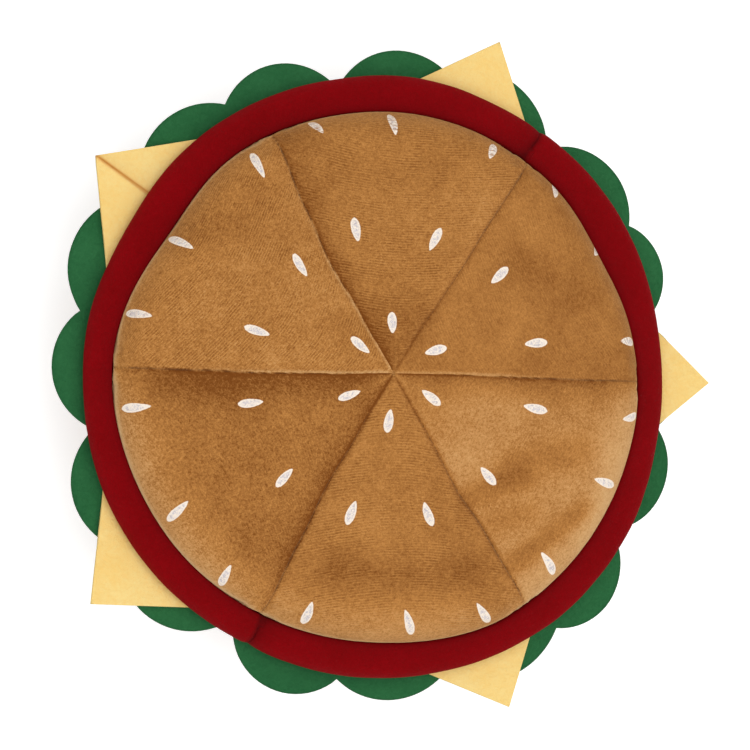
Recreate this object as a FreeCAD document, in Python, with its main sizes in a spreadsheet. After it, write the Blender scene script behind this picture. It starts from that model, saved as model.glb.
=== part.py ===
"""Burger-shaped plush hat: a padded six-panel crown on three stuffed rolls, with felt frill and corners.

Millimetres, +Z up. The origin is the middle of the head opening, on the surface the hat stands on.
"""

import FreeCAD
import Part
import Sketcher
import math
import os

START, END, CENTRE = range(1, 4)
LEVEL_AXIS, UPRIGHT_AXIS = range(-1, -3, -1)
SKETCH_ORIGIN = (LEVEL_AXIS, START)
FULL_TURN = 360.0

# Driving dimensions, in millimetres, degrees and counts
SIZES = {
    "head_radius": 92.5,
    "sweatband_height": 32.0,
    "sweatband_thickness": 1.6,
    "lining_thickness": 1.5,
    "lining_wall": 66.0,
    "lining_rise": 38.0,
    "lining_shoulder": 34.0,
    "velour_thickness": 2.0,
    "felt_thickness": 2.0,
    "fit_gap": 0.3,
    "foot_radius": 118.0,
    "heel_height": 31.5,
    "heel_seam_radius": 122.0,
    "heel_bulge": 8.0,
    "patty_height": 30.0,
    "patty_seam_radius": 128.0,
    "patty_bulge": 8.0,
    "lettuce_radius": 154.0,
    "lettuce_lobe_radius": 32.0,
    "lettuce_lobes": 16,
    "lettuce_turn": 10.5,
    "lettuce_margin": 24.5,
    "lettuce_droop": 12.0,
    "cheese_setback": 3.0,
    "cheese_overhang": 18.0,
    "cheese_width": 61.0,
    "cheese_angle_1": -0.9,
    "cheese_angle_2": 68.1,
    "cheese_angle_3": 141.9,
    "cheese_angle_4": 218.2,
    "cheese_angle_5": 293.7,
    "tomato_height": 15.0,
    "tomato_seam_radius": 138.0,
    "tomato_bulge": 10.5,
    "roll_join_angle_1": 55.0,
    "roll_join_angle_2": 244.0,
    "crown_seam_radius": 125.0,
    "crown_radius": 126.0,
    "crown_rise": 32.0,
    "crown_drop": 5.0,
    "shoulder_radius": 18.0,
    "seam_shoulder_radius": 9.0,
    "seam_pull": 0.5,
    "panel_tip": 1.0,
    "panel_seam_angle_1": -1.7,
    "panel_seam_angle_2": 53.0,
    "panel_seam_angle_3": 114.3,
    "panel_seam_angle_4": 178.8,
    "panel_seam_angle_5": 243.4,
    "panel_seam_angle_6": 302.0,
}
CHEESE_CORNERS = 5
CROWN_PANELS = 6


class Measure:
    """A size as a number, for drawing, and as the expression that ties it to the sheet."""

    def __init__(self, value, text):
        self.value = value
        self.text = text

    @staticmethod
    def of(thing):
        return thing if isinstance(thing, Measure) else Measure(thing, repr(thing))

    def joined(self, sign, other, value):
        return Measure(value, f"({self.text} {sign} {other.text})")

    def __add__(self, other):
        other = Measure.of(other)
        return self.joined("+", other, self.value + other.value)

    def __sub__(self, other):
        other = Measure.of(other)
        return self.joined("-", other, self.value - other.value)

    def __mul__(self, other):
        other = Measure.of(other)
        return self.joined("*", other, self.value * other.value)

    def __truediv__(self, other):
        other = Measure.of(other)
        return self.joined("/", other, self.value / other.value)


def make_sheet(doc):
    """The sheet of driving dimensions, one named cell each, and the same sizes as measures."""
    sheet = doc.addObject("Spreadsheet::Sheet", "Sizes")
    for row, (alias, number) in enumerate(SIZES.items(), start=1):
        sheet.set(f"A{row}", alias)
        sheet.set(f"B{row}", str(number))
        sheet.setAlias(f"B{row}", alias)
    doc.recompute()
    return {alias: Measure(getattr(sheet, alias), f"Sizes.{alias}") for alias in SIZES}


class Outline:
    """A sketch on one of a body's own planes, whose points and radii are tied to the sizes."""

    def __init__(self, body, name, plane="XZ_Plane", turn=None):
        self.sketch = body.newObject("Sketcher::SketchObject", name)
        planes = [f for f in body.Origin.OriginFeatures if f.Role == plane]
        self.sketch.AttachmentSupport = [(planes[0], "")]
        self.sketch.MapMode = "FlatFace"
        if turn is not None:
            upright = FreeCAD.Vector(0, 1, 0)
            self.sketch.AttachmentOffset = FreeCAD.Placement(
                FreeCAD.Vector(), FreeCAD.Rotation(upright, turn.value)
            )
            self.sketch.setExpression("AttachmentOffset.Rotation.Angle", turn.text)

    def line(self, start, end, construction=False):
        first, last = (FreeCAD.Vector(p[0], p[1], 0) for p in (start, end))
        return self.sketch.addGeometry(Part.LineSegment(first, last), construction)

    def arc(self, centre, radius, start, end, construction=False):
        """An arc that runs anticlockwise about centre from the side of start to the side of end."""
        circle = Part.Circle(FreeCAD.Vector(*centre, 0), FreeCAD.Vector(0, 0, 1), radius)
        turns = [math.atan2(p[1] - centre[1], p[0] - centre[0]) for p in (start, end)]
        return self.sketch.addGeometry(Part.ArcOfCircle(circle, *turns), construction)

    def circle(self, radius):
        shape = Part.Circle(FreeCAD.Vector(), FreeCAD.Vector(0, 0, 1), radius.value)
        index = self.sketch.addGeometry(shape, False)
        self.rule("Coincident", index, CENTRE, *SKETCH_ORIGIN)
        self.size("Radius", index, radius)
        return index

    def rule(self, kind, *where):
        return self.sketch.addConstraint(Sketcher.Constraint(kind, *where))

    def size(self, kind, *where):
        """A dimension whose last value is a measure, bound to the sheet."""
        measure = Measure.of(where[-1])
        index = self.rule(kind, *where[:-1], measure.value)
        self.sketch.setExpression(f"Constraints[{index}]", measure.text)

    def across(self, geometry, point, measure):
        self.size("DistanceX", *SKETCH_ORIGIN, geometry, point, measure)

    def up(self, geometry, point, measure):
        self.size("DistanceY", *SKETCH_ORIGIN, geometry, point, measure)

    def place(self, geometry, point, measures):
        self.across(geometry, point, measures[0])
        self.up(geometry, point, measures[1])

    def join(self, first, first_point, second, second_point):
        self.rule("Coincident", first, first_point, second, second_point)

    def smooth(self, first, first_point, second, second_point):
        self.rule("Tangent", first, first_point, second, second_point)


def new_body(doc, label):
    body = doc.addObject("PartDesign::Body", label)
    body.Label = label
    return body


def revolve(body, outline, degrees=FULL_TURN):
    turned = body.newObject("PartDesign::Revolution", f"{body.Name}_turn")
    turned.Profile = outline.sketch
    turned.ReferenceAxis = (outline.sketch, ["V_Axis"])
    turned.Angle = degrees
    return turned


def turn_body(body, angle, offset=FreeCAD.Vector()):
    """Turns a finished body about the hat's upright axis, after moving it by offset."""
    spin = FreeCAD.Rotation(FreeCAD.Vector(0, 0, 1), angle)
    body.Placement = FreeCAD.Placement(spin.multVec(offset), spin)


def levels_of(size):
    """Heights of the stacked layers, each from the one below it."""
    gap = size["fit_gap"]
    heel_bottom = size["velour_thickness"] + gap
    heel_top = size["heel_height"]
    patty_bottom = heel_top + gap
    patty_top = heel_top + size["patty_height"]
    lettuce_bottom = patty_top + gap
    lettuce_top = lettuce_bottom + size["felt_thickness"]
    tomato_bottom = lettuce_top + gap
    tomato_top = tomato_bottom + size["tomato_height"]
    crown_bottom = tomato_top + gap
    crown_widest = crown_bottom + size["crown_drop"]
    return {
        "heel_bottom": heel_bottom,
        "heel_top": heel_top,
        "patty_bottom": patty_bottom,
        "patty_top": patty_top,
        "lettuce_bottom": lettuce_bottom,
        "lettuce_top": lettuce_top,
        "cheese_middle": lettuce_top + gap + size["felt_thickness"] / 2,
        "tomato_bottom": tomato_bottom,
        "tomato_top": tomato_top,
        "crown_bottom": crown_bottom,
        "crown_widest": crown_widest,
        "crown_apex": crown_widest + size["crown_rise"],
    }


# Rolls: bands of cloth that bulge between two seams, and the wadding behind them


class Roll:
    """The bulging arc between a roll's lower and upper seam, each an across and an up measure."""

    def __init__(self, lower, upper, bulge):
        self.lower = lower
        self.upper = upper
        self.bulge = bulge
        low = [m.value for m in lower]
        high = [m.value for m in upper]
        chord = (high[0] - low[0], high[1] - low[1])
        length = math.hypot(*chord)
        sag = bulge.value
        self.radius_value = (length**2 / 4 + sag**2) / (2 * sag)
        outward = (chord[1] / length, -chord[0] / length)
        back = self.radius_value - sag
        self.centre = tuple((low[i] + high[i]) / 2 - back * outward[i] for i in (0, 1))

    def radius(self):
        """Radius of the arc through both seams that stands proud of their chord by the bulge."""
        run = self.upper[0] - self.lower[0]
        rise = self.upper[1] - self.lower[1]
        half_chord_squared = (run * run + rise * rise) / 4
        return (half_chord_squared + self.bulge * self.bulge) / (self.bulge * 2)

    def seam_points(self):
        return [[m.value for m in seam] for seam in (self.lower, self.upper)]

    def toward_centre(self, point, depth):
        share = depth / self.radius_value
        return tuple(point[i] + (self.centre[i] - point[i]) * share for i in (0, 1))


def draw_roll_arc(outline, roll, construction):
    """The arc of the roll's outer face, held at both seams."""
    low, high = roll.seam_points()
    arc = outline.arc(roll.centre, roll.radius_value, low, high, construction)
    outline.place(arc, START, roll.lower)
    outline.place(arc, END, roll.upper)
    outline.size("Radius", arc, roll.radius())
    return arc


def draw_inner_arc(outline, roll, outer, depth, construction):
    """An arc a depth inside the outer face, between lines that run from the seams to the centre."""
    low, high = roll.seam_points()
    inner_low = roll.toward_centre(low, depth.value)
    inner_high = roll.toward_centre(high, depth.value)
    inner = outline.arc(roll.centre, roll.radius_value - depth.value, low, high)
    outline.join(inner, CENTRE, outer, CENTRE)
    outline.size("Radius", inner, roll.radius() - depth)
    for point, seam, inset in ((START, low, inner_low), (END, high, inner_high)):
        edge = outline.line(seam, inset, construction)
        outline.join(edge, START, outer, point)
        outline.join(edge, END, inner, point)
        outline.rule("PointOnObject", outer, CENTRE, edge)
    return inner


def make_band(doc, label, roll, thickness, degrees, angle):
    """One length of cloth that bulges between its two seams."""
    body = new_body(doc, label)
    outline = Outline(body, f"{label}_section")
    outer = draw_roll_arc(outline, roll, construction=False)
    draw_inner_arc(outline, roll, outer, thickness, construction=False)
    revolve(body, outline, degrees)
    turn_body(body, angle)
    return body


def make_band_halves(doc, label, roll, thickness, size):
    """Two bands of about half a turn each, sewn end to end at two joins."""
    first, second = (size[f"roll_join_angle_{number}"].value for number in (1, 2))
    left = second - first
    return [
        make_band(doc, f"{label}_left", roll, thickness, left, first),
        make_band(doc, f"{label}_right", roll, thickness, FULL_TURN - left, second),
    ]


def make_wadding(doc, label, roll, thickness, size):
    """A ring of wadding that fills a roll out to its cloth and in to the lining."""
    body = new_body(doc, label)
    outline = Outline(body, f"{label}_section")
    outer = draw_roll_arc(outline, roll, construction=True)
    depth = thickness + size["fit_gap"]
    face = draw_inner_arc(outline, roll, outer, depth, construction=True)
    inner_radius = lining_outer_radius(size) + size["fit_gap"]
    ends = [roll.toward_centre(point, depth.value) for point in roll.seam_points()]
    corners = [(inner_radius.value, end[1]) for end in ends]
    floor = outline.line(ends[0], corners[0])
    wall = outline.line(corners[0], corners[1])
    ceiling = outline.line(corners[1], ends[1])
    outline.join(floor, START, face, START)
    outline.join(floor, END, wall, START)
    outline.join(wall, END, ceiling, START)
    outline.join(ceiling, END, face, END)
    outline.rule("Horizontal", floor)
    outline.rule("Horizontal", ceiling)
    outline.rule("Vertical", wall)
    outline.across(wall, START, inner_radius)
    revolve(body, outline)
    return body


# Domes: a wide top arc that runs smoothly into a tight shoulder arc


class Dome:
    """A dome's profile: widest radius and level, rise to the apex, and radius of its shoulder."""

    def __init__(self, widest, level, rise, shoulder):
        self.widest = widest
        self.level = level
        self.rise = rise
        self.shoulder = shoulder
        reach = widest.value - shoulder.value
        high = rise.value
        tight = shoulder.value
        self.top_radius = (reach**2 + high**2 - tight**2) / (2 * (high - tight))
        self.shoulder_centre = (reach, level.value)
        self.top_centre = (0.0, level.value + high - self.top_radius)

    def apex(self):
        return self.level + self.rise

    def meeting_point(self, depth):
        """Where the two arcs meet, a depth inside the dome's face."""
        span = [self.shoulder_centre[i] - self.top_centre[i] for i in (0, 1)]
        share = (self.top_radius - depth) / math.hypot(*span)
        return tuple(self.top_centre[i] + span[i] * share for i in (0, 1))

    def point_at_level(self, level, depth):
        """The point of the shoulder arc, a depth inside the face, at a height below its middle."""
        drop = self.shoulder_centre[1] - level
        run = math.sqrt((self.shoulder.value - depth) ** 2 - drop**2)
        return (self.shoulder_centre[0] + run, level)

    def point_near_axis(self, across, depth):
        radius = self.top_radius - depth
        return (across, self.top_centre[1] + math.sqrt(radius**2 - across**2))


def draw_dome_arcs(outline, dome, depth, start, end):
    """The shoulder and top arcs, a depth inside the face, from start at the rim to end at the top."""
    meeting = dome.meeting_point(depth.value)
    shoulder = outline.arc(
        dome.shoulder_centre, dome.shoulder.value - depth.value, start, meeting
    )
    top = outline.arc(dome.top_centre, dome.top_radius - depth.value, meeting, end)
    outline.smooth(shoulder, END, top, START)
    outline.size("Radius", shoulder, dome.shoulder - depth)
    outline.rule("PointOnObject", top, CENTRE, UPRIGHT_AXIS)
    outline.place(shoulder, CENTRE, (dome.widest - dome.shoulder, dome.level))
    return shoulder, top


def crown_dome(size, level, at_seam):
    """The crown's profile down the middle of a panel, or along a seam, which is drawn in."""
    pull = size["seam_pull"] if at_seam else Measure.of(0.0)
    shoulder = size["seam_shoulder_radius" if at_seam else "shoulder_radius"]
    return Dome(size["crown_radius"] - pull, level["crown_widest"], size["crown_rise"], shoulder)


def draw_panel_section(outline, dome, size, level):
    """The cloth's thickness along one line of a panel, from the rim to the tip."""
    none = Measure.of(0.0)
    cloth = size["velour_thickness"]
    tip = size["panel_tip"]
    bottom = level["crown_bottom"]
    faces = []
    rims = []
    tips = []
    for depth in (none, cloth):
        rim = dome.point_at_level(bottom.value, depth.value)
        end = dome.point_near_axis(tip.value, depth.value)
        faces.append(draw_dome_arcs(outline, dome, depth, rim, end))
        rims.append(rim)
        tips.append(end)
    rim_edge = outline.line(rims[1], rims[0])
    tip_edge = outline.line(tips[0], tips[1])
    outline.join(rim_edge, START, faces[1][0], START)
    outline.join(rim_edge, END, faces[0][0], START)
    outline.join(tip_edge, START, faces[0][1], END)
    outline.join(tip_edge, END, faces[1][1], END)
    outline.rule("Horizontal", rim_edge)
    outline.rule("Vertical", tip_edge)
    outline.up(rim_edge, START, bottom)
    outline.across(tip_edge, START, tip)
    outline.up(tip_edge, START, dome.apex())
    outline.up(tip_edge, END, dome.apex() - cloth)


def make_crown_panels(doc, size, level):
    """Velour gores that swell between their seams, like segments of a cushion, each of its own width."""
    seams = [size[f"panel_seam_angle_{number}"] for number in range(1, CROWN_PANELS + 1)]
    seams.append(seams[0] + FULL_TURN)
    panels = []
    for number in range(1, CROWN_PANELS + 1):
        label = f"crown_panel_{number}"
        body = new_body(doc, label)
        first, last = seams[number - 1 : number + 1]
        half_angle = (last - first) / 2
        sections = []
        for place, side in (("first_seam", -1), ("middle", 0), ("last_seam", 1)):
            outline = Outline(body, f"{label}_{place}", turn=half_angle * side)
            draw_panel_section(outline, crown_dome(size, level, at_seam=side != 0), size, level)
            sections.append(outline.sketch)
        doc.recompute()
        loft = body.newObject("PartDesign::AdditiveLoft", f"{label}_loft")
        loft.Profile = sections[0]
        loft.Sections = [(section, [""]) for section in sections[1:]]
        turn_body(body, (first.value + last.value) / 2)
        panels.append(body)
    return panels


# Inner pieces


def lining_outer_radius(size):
    inner = size["head_radius"] + size["sweatband_thickness"] + size["fit_gap"]
    return inner + size["lining_thickness"]


def lining_dome(size):
    """The outer face of the lining above its straight wall."""
    thickness = size["lining_thickness"]
    return Dome(
        lining_outer_radius(size),
        size["lining_wall"],
        size["lining_rise"] + thickness,
        size["lining_shoulder"] + thickness,
    )


def make_lining(doc, size, level):
    """A smooth cap of lining cloth with a straight wall, which the head goes into."""
    body = new_body(doc, "crown_lining")
    outline = Outline(body, "crown_lining_section")
    dome = lining_dome(size)
    thickness = size["lining_thickness"]
    bottom = level["heel_bottom"]
    walls = []
    tops = []
    for depth in (Measure.of(0.0), thickness):
        radius = dome.widest - depth
        wall_top = (radius.value, dome.level.value)
        apex = (0.0, dome.apex().value - depth.value)
        shoulder, top = draw_dome_arcs(outline, dome, depth, wall_top, apex)
        wall = outline.line((radius.value, bottom.value), wall_top)
        outline.smooth(wall, END, shoulder, START)
        outline.up(wall, START, bottom)
        outline.place(top, END, (Measure.of(0.0), dome.apex() - depth))
        walls.append(wall)
        tops.append(top)
    hem_ends = [(dome.widest.value - depth, bottom.value) for depth in (thickness.value, 0.0)]
    hem = outline.line(*hem_ends)
    outline.join(hem, START, walls[1], START)
    outline.join(hem, END, walls[0], START)
    apex_high = (0.0, dome.apex().value)
    middle = outline.line(apex_high, (0.0, apex_high[1] - thickness.value))
    outline.join(middle, START, tops[0], END)
    outline.join(middle, END, tops[1], END)
    revolve(body, outline)
    return body


def make_crown_pad(doc, size, level):
    """A dome of padding between the crown's panels and the lining."""
    body = new_body(doc, "crown_padding")
    outline = Outline(body, "crown_padding_section")
    gap = size["fit_gap"]
    bottom = level["crown_bottom"]
    outer_depth = size["velour_thickness"] + gap * 2
    outer = crown_dome(size, level, at_seam=True)
    inner = lining_dome(size)
    inner_depth = Measure.of(0.0) - gap
    outer_rim = outer.point_at_level(bottom.value, outer_depth.value)
    outer_apex = (0.0, outer.apex().value - outer_depth.value)
    outer_arcs = draw_dome_arcs(outline, outer, outer_depth, outer_rim, outer_apex)
    inner_rim = inner.point_at_level(bottom.value, inner_depth.value)
    inner_apex = (0.0, inner.apex().value - inner_depth.value)
    inner_arcs = draw_dome_arcs(outline, inner, inner_depth, inner_rim, inner_apex)
    floor = outline.line(inner_rim, outer_rim)
    middle = outline.line(outer_apex, inner_apex)
    outline.join(floor, START, inner_arcs[0], START)
    outline.join(floor, END, outer_arcs[0], START)
    outline.join(middle, START, outer_arcs[1], END)
    outline.join(middle, END, inner_arcs[1], END)
    outline.rule("Horizontal", floor)
    outline.up(floor, START, bottom)
    outline.place(middle, START, (Measure.of(0.0), outer.apex() - outer_depth))
    outline.place(middle, END, (Measure.of(0.0), inner.apex() - inner_depth))
    revolve(body, outline)
    return body


def make_ring(doc, label, inner_radius, outer_radius, height):
    """A flat or upright ring of cloth that stands on the ground plane."""
    body = new_body(doc, label)
    outline = Outline(body, f"{label}_outline", plane="XY_Plane")
    outline.circle(outer_radius)
    outline.circle(inner_radius)
    ring = body.newObject("PartDesign::Pad", f"{label}_pad")
    ring.Profile = outline.sketch
    ring.Length = height.value
    ring.setExpression("Length", height.text)
    return body


# Felt pieces


def make_lettuce(doc, size, level):
    """A scalloped felt ring: a flat margin sewn into the seam, and a frill that droops outside it."""
    reach = size["lettuce_radius"] + size["felt_thickness"]
    seam = size["tomato_seam_radius"]
    inner = seam - size["lettuce_margin"]
    droop = math.tan(math.radians(size["lettuce_droop"].value))
    bottom = level["lettuce_bottom"]
    top = level["lettuce_top"]
    fall = (reach - seam) * Measure(droop, "tan(Sizes.lettuce_droop * 1deg)")
    corners = [
        (inner, bottom),
        (seam, bottom),
        (reach, bottom - fall),
        (reach, top - fall),
        (seam, top),
        (inner, top),
    ]
    ring = doc.addObject("PartDesign::Body", "lettuce_ring")
    outline = Outline(ring, "lettuce_section")
    points = [tuple(m.value for m in corner) for corner in corners]
    edges = [outline.line(point, points[(i + 1) % len(points)]) for i, point in enumerate(points)]
    for i, corner in enumerate(corners):
        outline.join(edges[i - 1], END, edges[i], START)
        outline.place(edges[i], START, corner)
    revolve(ring, outline)
    lobes = []
    count = int(size["lettuce_lobes"].value)
    for number in range(count):
        lobe = doc.addObject("Part::Cylinder", f"lettuce_lobe_{number + 1}")
        lobe.setExpression("Radius", size["lettuce_lobe_radius"].text)
        lobe.setExpression("Height", level["lettuce_top"].text)
        out = size["lettuce_radius"] - size["lettuce_lobe_radius"]
        share = (number + 0.5) * FULL_TURN
        for side, wave in (("x", "cos"), ("y", "sin")):
            angle = f"({share} / Sizes.lettuce_lobes + Sizes.lettuce_turn) * 1deg"
            lobe.setExpression(f"Placement.Base.{side}", f"{out.text} * {wave}({angle})")
        lobes.append(lobe)
    scallops = doc.addObject("Part::MultiFuse", "lettuce_scallops")
    scallops.Shapes = lobes
    lettuce = doc.addObject("Part::Common", "lettuce_frill")
    lettuce.Base = ring
    lettuce.Tool = scallops
    lettuce.Label = "lettuce_frill"
    return lettuce


def make_cheese_corners(doc, size, level):
    """Felt triangles, each free to fold about a rounded base edge beside the roll above it."""
    felt = size["felt_thickness"]
    half_width = size["cheese_width"] / 2
    hinge = size["tomato_seam_radius"] + size["cheese_setback"]
    reach = size["lettuce_radius"] + size["cheese_overhang"] - hinge
    corners = []
    for number in range(1, CHEESE_CORNERS + 1):
        label = f"cheese_corner_{number}"
        body = new_body(doc, label)
        face = Outline(body, f"{label}_face", plane="XY_Plane")
        points = [(0.0, -half_width.value), (reach.value, 0.0), (0.0, half_width.value)]
        edges = [face.line(point, points[(i + 1) % 3]) for i, point in enumerate(points)]
        for i in range(3):
            face.join(edges[i - 1], END, edges[i], START)
        nothing = Measure.of(0.0)
        face.place(edges[0], START, (nothing, nothing - half_width))
        face.place(edges[1], START, (reach, nothing))
        face.place(edges[2], START, (nothing, half_width))
        sheet = body.newObject("PartDesign::Pad", f"{label}_sheet")
        sheet.Profile = face.sketch
        sheet.Length = felt.value
        sheet.setExpression("Length", felt.text)
        sheet.Midplane = True
        edge = Outline(body, f"{label}_edge", plane="XZ_Plane")
        edge.circle(felt / 2)
        fold = body.newObject("PartDesign::Pad", f"{label}_fold")
        fold.Profile = edge.sketch
        fold.Length = size["cheese_width"].value
        fold.setExpression("Length", size["cheese_width"].text)
        fold.Midplane = True
        offset = FreeCAD.Vector(hinge.value, 0, level["cheese_middle"].value)
        turn_body(body, size[f"cheese_angle_{number}"].value, offset)
        corners.append(body)
    return corners


def make_hat(doc):
    size = make_sheet(doc)
    level = levels_of(size)
    velour = size["velour_thickness"]
    felt = size["felt_thickness"]
    heel = Roll(
        (size["foot_radius"], level["heel_bottom"]),
        (size["heel_seam_radius"], level["heel_top"]),
        size["heel_bulge"],
    )
    patty = Roll(
        (size["heel_seam_radius"], level["patty_bottom"]),
        (size["patty_seam_radius"], level["patty_top"]),
        size["patty_bulge"],
    )
    tomato = Roll(
        (size["tomato_seam_radius"], level["tomato_bottom"]),
        (size["crown_seam_radius"], level["tomato_top"]),
        size["tomato_bulge"],
    )
    sweatband_outer = size["head_radius"] + size["sweatband_thickness"]
    base_inner = sweatband_outer + size["fit_gap"]
    pieces = [
        make_ring(doc, "sweatband", size["head_radius"], sweatband_outer, size["sweatband_height"]),
        make_ring(doc, "base_ring", base_inner, size["foot_radius"], velour),
        make_lining(doc, size, level),
        make_band(doc, "heel_cover", heel, velour, FULL_TURN, 0.0),
        make_wadding(doc, "heel_wadding", heel, velour, size),
        *make_band_halves(doc, "patty_cover", patty, felt, size),
        make_wadding(doc, "patty_wadding", patty, felt, size),
        make_lettuce(doc, size, level),
        *make_cheese_corners(doc, size, level),
        *make_band_halves(doc, "tomato_cover", tomato, felt, size),
        make_wadding(doc, "tomato_wadding", tomato, felt, size),
        make_crown_pad(doc, size, level),
        *make_crown_panels(doc, size, level),
    ]
    doc.recompute()
    return pieces


def check(doc, pieces):
    """Stops the build if anything in the document failed, or a piece isn't a valid solid."""
    for thing in doc.Objects:
        if "Invalid" in thing.State or "Error" in thing.State:
            raise RuntimeError(f"{thing.Label} failed: {thing.State}")
    for piece in pieces:
        shape = piece.Shape
        if shape.isNull() or not shape.isValid() or not shape.Solids:
            raise RuntimeError(f"{piece.Label} is not a valid solid")


def main():
    doc = FreeCAD.newDocument("burger_hat")
    pieces = make_hat(doc)
    check(doc, pieces)
    os.makedirs("parts", exist_ok=True)
    for piece in pieces:
        piece.Shape.exportStep(f"parts/{piece.Label}.step")
        print(f"{piece.Label}: {len(piece.Shape.Solids)} solid, {piece.Shape.Volume / 1000:.2f} cm3")


main()
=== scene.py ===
"""Burger-shaped plush hat, seen from above on a white ground: velour crown, felt roll, corners and frill."""

import math

import bmesh
import bpy
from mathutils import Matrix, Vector, noise


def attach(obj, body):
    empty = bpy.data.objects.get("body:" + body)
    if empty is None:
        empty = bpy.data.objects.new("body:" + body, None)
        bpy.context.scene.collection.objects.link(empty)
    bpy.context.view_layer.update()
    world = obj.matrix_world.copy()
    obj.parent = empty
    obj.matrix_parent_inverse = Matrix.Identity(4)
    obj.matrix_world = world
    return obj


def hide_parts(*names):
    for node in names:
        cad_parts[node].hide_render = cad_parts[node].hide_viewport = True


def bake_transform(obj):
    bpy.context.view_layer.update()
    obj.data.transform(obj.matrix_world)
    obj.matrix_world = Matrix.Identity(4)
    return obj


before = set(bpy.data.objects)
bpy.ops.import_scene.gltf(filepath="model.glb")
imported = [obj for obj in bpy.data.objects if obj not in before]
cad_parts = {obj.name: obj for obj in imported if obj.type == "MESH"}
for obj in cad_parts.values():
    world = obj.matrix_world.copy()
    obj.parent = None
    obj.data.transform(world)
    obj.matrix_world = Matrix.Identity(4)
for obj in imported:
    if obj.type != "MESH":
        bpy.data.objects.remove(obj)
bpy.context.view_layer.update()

MM = 0.001
UP = Vector((0, 0, 1))
SAME_PLACE = 1e-6
FAR_BELOW = -500.0

# Sizes of the hat in millimetres, as in the solid model
PANELS = 6
CROWN_RADIUS = 126.0
CROWN_BOTTOM = 79.4
CROWN_WIDEST = 84.4
CROWN_RISE = 32.0
SHOULDER = 18.0
SEAM_RADIUS = 125.5
SEAM_SHOULDER = 9.0
CLOTH = 2.0
FRILL_TOP = 63.8
FRILL_SEAM = 138.0
FRILL_INNER = 113.5
CHEESE_LEVEL = 65.1
LINING_RADIUS = 95.9
LINING_BOTTOM = 2.4
LINING_WALL = 66.0
LINING_RISE = 39.5
LINING_SHOULDER = 35.5
LINING_CLOTH = 1.5
HEAD_RADIUS = 92.5
BAND_HEIGHT = 32.0
BAND_CLOTH = 1.6
BASE_INNER = 94.6

# Each roll's lower and upper seam, as places across and up, and its bulge between them
HEEL = ((118.0, 2.3), (122.0, 31.5), 8.0)
PATTY = ((122.0, 31.8), (128.0, 61.5), 8.0)
TOMATO = ((138.0, 64.1), (125.0, 79.1), 10.5)

# How the sewn hat differs from the even one: turns in degrees, lengths in millimetres
SEAM_TURNS = (-1.7, 53.0, 114.3, 178.8, 243.4, 302.0)
JOIN_TURNS = (55.0, 244.0)
CROWN_SLIDE = Vector((-2.0, 0.8, 0.0))
TIP_SLIDE = Vector((0.3, 1.2, 0.0))

# How far each seam runs beside its straight line, at every step out from the tip
BEND_STEP = 30.0
SEAM_BENDS = (
    (0.3, 0.4, 0.8, 1.1),
    (1.6, 1.8, 2.7, 2.1),
    (2.4, 4.8, 3.1, 0.2),
    (0.9, 0.7, -0.6, -1.2),
    (-2.1, -3.9, -2.5, -0.7),
    (-0.4, -1.0, 2.0, 3.6),
)

# Where the crown's rim and the red roll stand proud: the turn, width and height of each soft bump
RIM_SHAPE = (
    (315, 38, 4.6),
    (297, 12, 1.8),
    (180, 20, 2.6),
    (215, 20, 0.6),
    (146, 17, -5.2),
    (95, 25, -1.2),
    (265, 14, -1.0),
    (28, 12, -3.0),
    (355, 14, 2.2),
)
ROLL_SHAPE = (
    (312, 30, 4.8),
    (333, 9, 0.9),
    (40, 25, 2.0),
    (82, 15, 1.8),
    (149, 16, -3.2),
    (184, 20, -1.0),
    (240, 22, -1.8),
)


# Finishes

CLOTH_SHINE = 0.08
RIB_PITCH = 1.3
RIB_WOBBLE = 5.0
DASH_LENGTH = 3.8
DASH_WIDTH = 0.62
SEED_REACH = 0.535
SEED_HALF_WIDTH = 2.2
SEED_TAPER = 0.24
CLOTH_MAP_UNIT = 100.0


class Shade:
    """A value that varies over a finish. Sums of shades are written as plain expressions."""

    def __init__(self, finish, socket):
        self.finish = finish
        self.socket = socket

    def math(self, operation, *others):
        values = [self, *others]
        return self.finish.node("ShaderNodeMath", {"operation": operation}, dict(enumerate(values)))

    def __add__(self, other):
        return self.math("ADD", other)

    __radd__ = __add__

    def __sub__(self, other):
        return self.math("SUBTRACT", other)

    def __rsub__(self, other):
        return self.finish.node("ShaderNodeMath", {"operation": "SUBTRACT"}, {0: other, 1: self})

    def __mul__(self, other):
        return self.math("MULTIPLY", other)

    __rmul__ = __mul__

    def __truediv__(self, other):
        return self.math("DIVIDE", other)

    def __pow__(self, other):
        return self.math("POWER", other)

    def sine(self):
        return self.math("SINE")

    def highest(self, other):
        return self.math("MAXIMUM", other)

    def within(self, low, high):
        """0 below low, 1 above high, and a smooth step between."""
        settings = {"interpolation_type": "SMOOTHSTEP"}
        inputs = {"Value": self, "From Min": low, "From Max": high}
        return self.finish.node("ShaderNodeMapRange", settings, inputs)


class Nodes:
    """A tree of nodes. One call makes a node, from its type, its settings and what its sockets take."""

    def __init__(self, tree):
        self.tree = tree

    def node(self, kind, settings=None, inputs=None, output=0):
        made = self.tree.nodes.new(kind)
        for key, value in (settings or {}).items():
            setattr(made, key, value)
        for key, value in (inputs or {}).items():
            self.feed(made.inputs[key], value)
        return Shade(self, made.outputs[output])

    def feed(self, socket, value):
        if isinstance(value, Shade):
            self.tree.links.new(value.socket, socket)
        else:
            socket.default_value = value

    def mix(self, share, first, second):
        settings = {"data_type": "RGBA"}
        return self.node("ShaderNodeMix", settings, {0: share, 6: first, 7: second}, output=2)

    def split(self, vector, ways):
        """The first few parts of a vector, each as a value."""
        return [self.node("ShaderNodeSeparateXYZ", None, {0: vector}, output=way) for way in range(ways)]


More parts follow.
